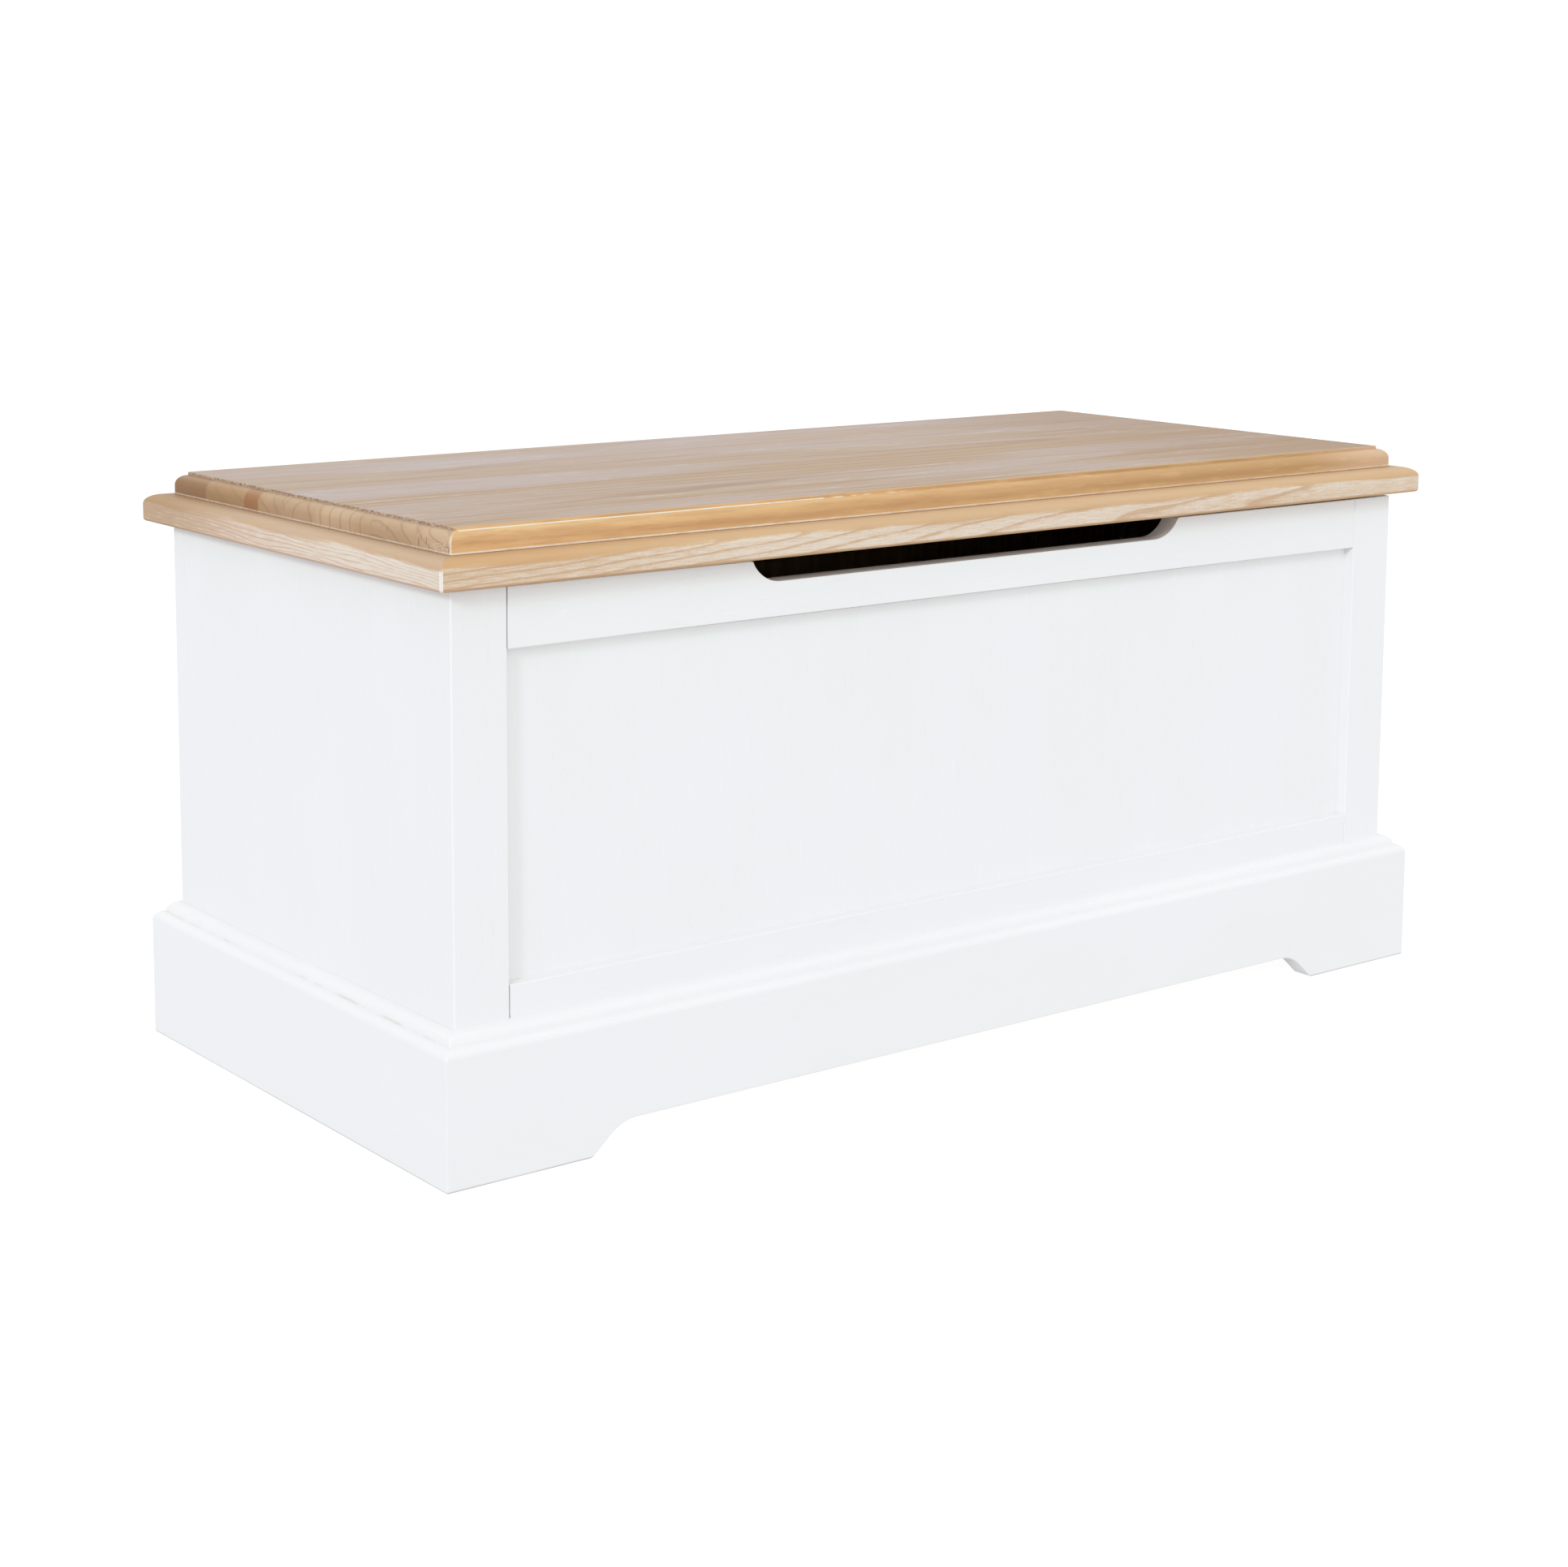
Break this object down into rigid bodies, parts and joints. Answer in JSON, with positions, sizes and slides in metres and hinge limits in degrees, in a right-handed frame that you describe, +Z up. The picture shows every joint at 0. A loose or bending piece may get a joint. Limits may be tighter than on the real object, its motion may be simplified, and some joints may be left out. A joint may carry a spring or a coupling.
{
  "type": "blanket chest",
  "caption": "Long rectangular storage chest with a hinged moulded wooden lid, framed front with a hand cut-out and a shaped plinth.",
  "frame": {"origin": "centre of the footprint on the floor, under the plinth", "axes": "+X to the right along the front as seen by a person facing it, the front faces -Y, +Z up"},
  "size_m": [1, 0.46, 0.4605],
  "materials": {
    "painted_wood": "satin off-white paint over wood, brushed along the boards, with faint grain",
    "limed_wood": "pale limed and waxed softwood, white lime in the open grain and along the arrises",
    "bare_wood": "planed bare pine",
    "hinge_steel": "zinc plated steel",
    "stay_steel": "zinc plated steel",
    "buffer_rubber": "soft off-white rubber"
  },
  "bodies": {
    "carcass": {"front_left_stile": "painted_wood", "front_right_stile": "painted_wood", "front_top_rail": "painted_wood", "front_bottom_rail": "painted_wood", "front_panel": "painted_wood", "back_left_stile": "painted_wood", "back_right_stile": "painted_wood", "back_top_rail": "painted_wood", "back_bottom_rail": "painted_wood", "back_panel": "painted_wood", "left_side_panel": "painted_wood", "right_side_panel": "painted_wood", "plinth_front": "painted_wood", "plinth_back": "painted_wood", "plinth_left": "painted_wood", "plinth_right": "painted_wood", "floor_board": "bare_wood", "floor_cleat_front": "bare_wood", "floor_cleat_back": "bare_wood", "floor_cleat_left": "bare_wood", "floor_cleat_right": "bare_wood", "corner_block_front_left": "bare_wood", "corner_block_front_right": "bare_wood", "corner_block_back_left": "bare_wood", "corner_block_back_right": "bare_wood", "hinge_left_body_leaf": "hinge_steel", "hinge_left_pin": "hinge_steel", "hinge_right_body_leaf": "hinge_steel", "hinge_right_pin": "hinge_steel", "stay_left_wall_bracket": "stay_steel", "stay_right_wall_bracket": "stay_steel", "lid_buffer_front_left": "buffer_rubber", "lid_buffer_front_right": "buffer_rubber", "lid_buffer_back_left": "buffer_rubber", "lid_buffer_back_right": "buffer_rubber"},
    "lid": {"lid_frame_front": "limed_wood", "lid_frame_back": "limed_wood", "lid_frame_left": "limed_wood", "lid_frame_right": "limed_wood", "lid_plank_1": "limed_wood", "lid_plank_2": "limed_wood", "lid_plank_3": "limed_wood", "lid_plank_4": "limed_wood", "lid_plank_5": "limed_wood", "lid_plank_6": "limed_wood", "lid_plank_7": "limed_wood", "lid_batten_left": "bare_wood", "lid_batten_right": "bare_wood", "hinge_left_lid_leaf": "hinge_steel", "hinge_right_lid_leaf": "hinge_steel", "stay_left_lid_bracket": "stay_steel", "stay_left_rivet": "stay_steel", "stay_right_lid_bracket": "stay_steel", "stay_right_rivet": "stay_steel"},
    "stay_rod_left": {"stay_left_rod": "stay_steel", "stay_left_stop_nut": "stay_steel"},
    "stay_rod_right": {"stay_right_rod": "stay_steel", "stay_right_stop_nut": "stay_steel"},
    "stay_swivel_left": {"stay_left_swivel": "stay_steel"},
    "stay_swivel_right": {"stay_right_swivel": "stay_steel"}
  },
  "joints": [
    {"name": "lid_hinge", "type": "hinge", "parent": "carcass", "child": "lid", "pos_m": [0, 0.2158, 0.4185], "axis": [-1, 0, 0], "range_deg": [0, 90]},
    {"name": "stay_rod_left_pivot", "type": "hinge", "parent": "lid", "child": "stay_rod_left", "pos_m": [-0.4507, 0.06628, 0.4065], "axis": [1, 0, 0], "range_deg": [0, 45]},
    {"name": "stay_swivel_left_pivot", "type": "hinge", "parent": "carcass", "child": "stay_swivel_left", "pos_m": [-0.4507, 0.09231, 0.33335], "axis": [-1, 0, 0], "range_deg": [0, 45]},
    {"name": "stay_rod_right_pivot", "type": "hinge", "parent": "lid", "child": "stay_rod_right", "pos_m": [0.4507, 0.06628, 0.4065], "axis": [1, 0, 0], "range_deg": [0, 45]},
    {"name": "stay_swivel_right_pivot", "type": "hinge", "parent": "carcass", "child": "stay_swivel_right", "pos_m": [0.4507, 0.09231, 0.33335], "axis": [-1, 0, 0], "range_deg": [0, 45]}
  ],
  "couplings": [
    {"joint": "stay_rod_left_pivot", "follows": "lid_hinge", "ratio": 0.5},
    {"joint": "stay_swivel_left_pivot", "follows": "lid_hinge", "ratio": 0.5},
    {"joint": "stay_rod_right_pivot", "follows": "lid_hinge", "ratio": 0.5},
    {"joint": "stay_swivel_right_pivot", "follows": "lid_hinge", "ratio": 0.5}
  ]
}
